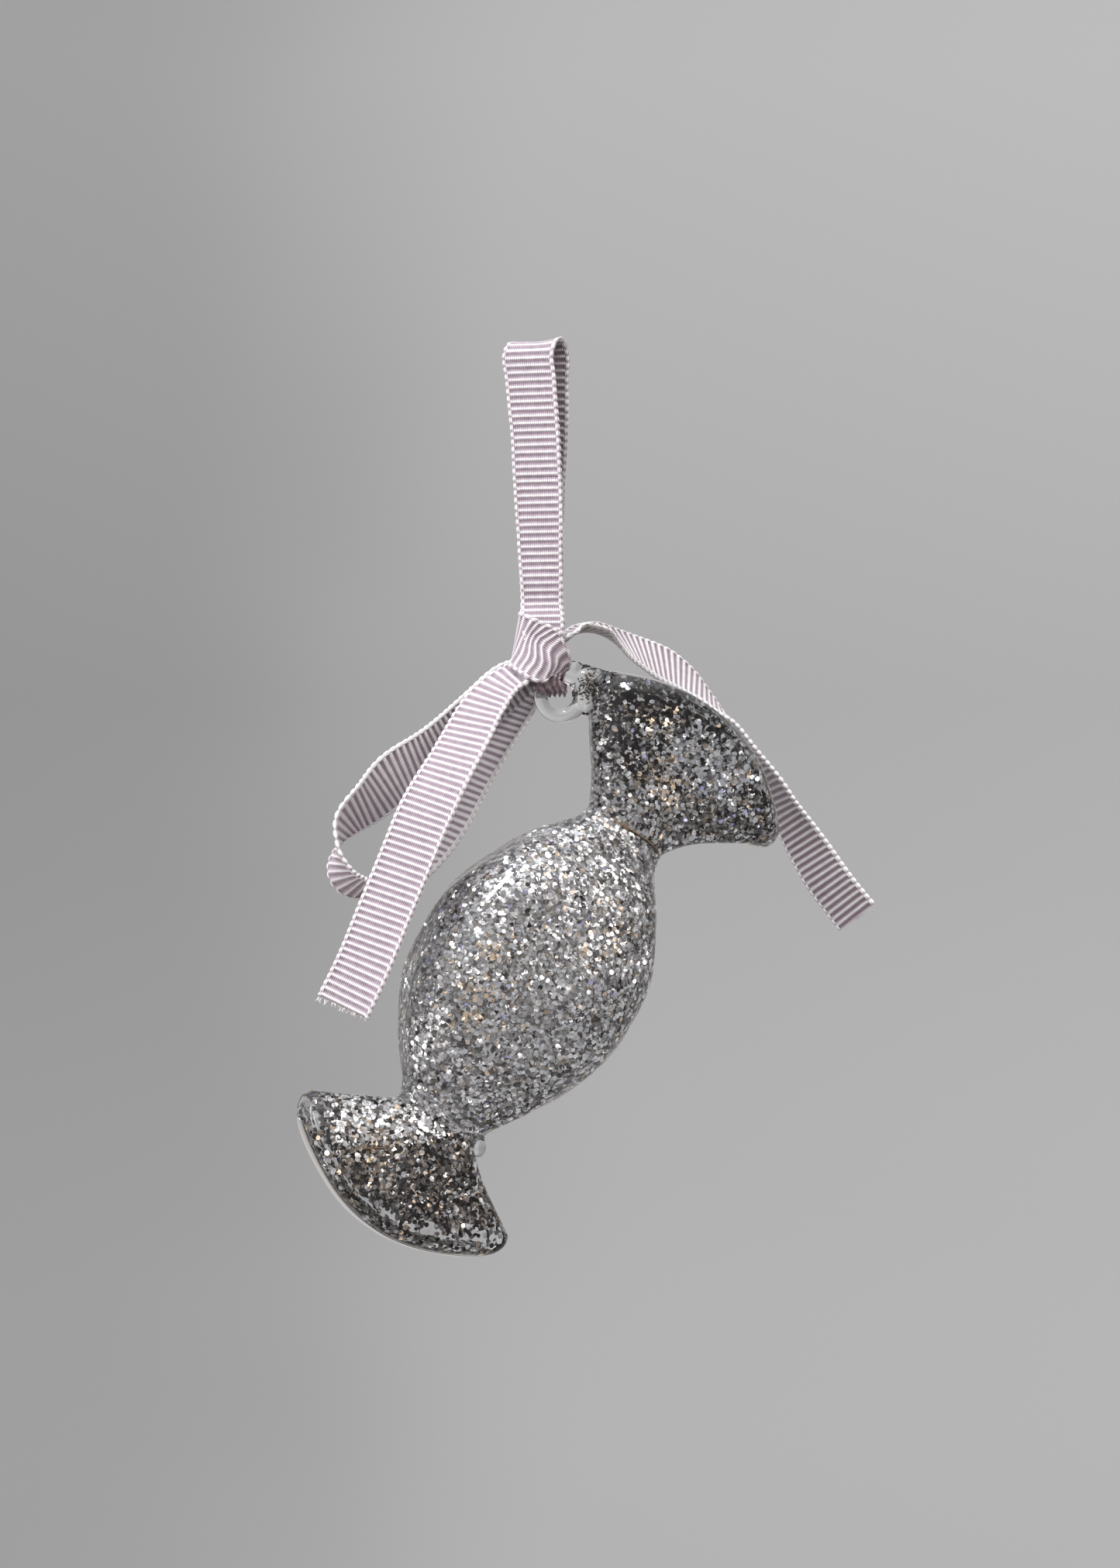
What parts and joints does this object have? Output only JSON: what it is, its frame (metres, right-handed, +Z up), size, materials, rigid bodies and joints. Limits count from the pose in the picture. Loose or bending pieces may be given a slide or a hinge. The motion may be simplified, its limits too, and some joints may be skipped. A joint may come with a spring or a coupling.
{
  "type": "glass hanging ornament",
  "caption": "Hollow glass ornament shaped like a wrapped sweet, coated inside with silver glitter, hung by a fused glass eye from a flat ribbed ribbon tied in a bow.",
  "frame": {"origin": "the hang point, the inside top of the ribbon loop where it bears on a hook", "axes": "+Z up, -Y towards the front, +X to the right as seen from the front"},
  "size_m": [0.1028, 0.0498, 0.1608],
  "materials": {
    "clear_glass": "clear, polished",
    "silver_glitter": "metallised hexagonal flakes",
    "grosgrain_ribbon": "cross-ribbed, satin threads"
  },
  "bodies": {
    "hook_bight": {"ribbon_hook_bight": "grosgrain_ribbon"},
    "strands": {"ribbon_front_strand": "grosgrain_ribbon", "ribbon_back_strand": "grosgrain_ribbon"},
    "knot": {"ribbon_knot_core": "grosgrain_ribbon", "ribbon_knot_wrap": "grosgrain_ribbon", "ribbon_eye_strand": "grosgrain_ribbon", "ribbon_bow_loop": "grosgrain_ribbon", "ribbon_left_tail": "grosgrain_ribbon", "ribbon_right_tail": "grosgrain_ribbon"},
    "sweet": {"bulb_glass": "clear_glass", "upper_fan_glass": "clear_glass", "lower_fan_glass": "clear_glass", "lower_neck_bead": "clear_glass", "eye_ring": "clear_glass", "eye_lug": "clear_glass", "bulb_glitter": "silver_glitter", "upper_fan_glitter": "silver_glitter", "lower_fan_glitter": "silver_glitter"}
  },
  "joints": [
    {"name": "ribbon_swing", "type": "hinge", "parent": "hook_bight", "child": "strands", "pos_m": [0, 0, -0.00205], "axis": [0.9397, -0.342, 0], "range_deg": [-35, 35]},
    {"name": "ribbon_twist", "type": "hinge", "parent": "strands", "child": "knot", "pos_m": [0, 0, -0.0464], "axis": [0, 0, 1], "range_deg": [-90, 90], "stiffness_Nm_per_rad": 0.0001},
    {"name": "eye_swing", "type": "hinge", "parent": "knot", "child": "sweet", "pos_m": [0.0026, 0, -0.06135], "axis": [0, 1, 0], "range_deg": [-10, 5]}
  ]
}
